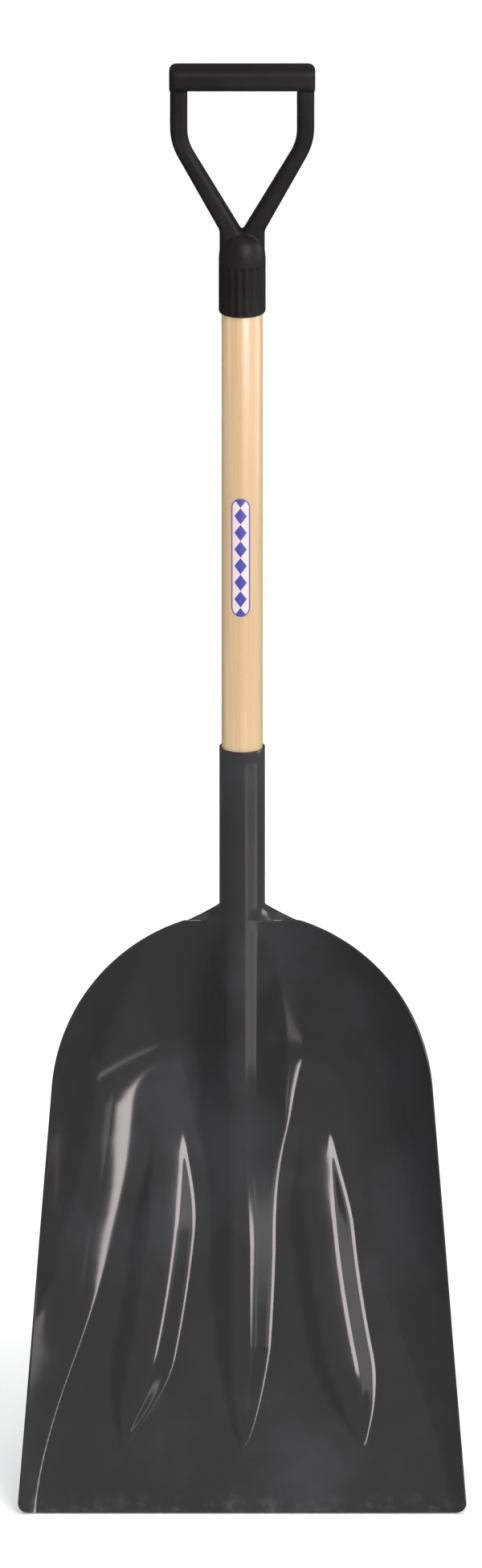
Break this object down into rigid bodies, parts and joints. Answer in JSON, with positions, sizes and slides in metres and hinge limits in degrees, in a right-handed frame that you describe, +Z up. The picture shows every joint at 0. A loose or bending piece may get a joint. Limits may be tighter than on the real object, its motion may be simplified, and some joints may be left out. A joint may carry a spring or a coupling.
{
  "type": "grain scoop shovel",
  "caption": "Wide one-piece pressed steel grain scoop with raised ribs, a round ash shaft and a moulded D-grip.",
  "frame": {"origin": "hang point: the middle of the flat underside of the D-grip's cross bar", "axes": "+Z up the shaft towards the grip, -Y out of the scoop's hollow, +X across the width"},
  "size_m": [0.3876, 0.1322, 1.2764],
  "materials": {
    "blade_enamel": "glossy",
    "ash_wood": "lacquered",
    "grip_polymer": "satin",
    "rivet_steel": "satin"
  },
  "bodies": {
    "root": {"scoop_blade": "blade_enamel", "handle_shaft": "ash_wood", "d_grip": "grip_polymer", "grip_rivet": "rivet_steel", "socket_rivet_upper": "rivet_steel", "socket_rivet_lower": "rivet_steel"}
  },
  "joints": []
}
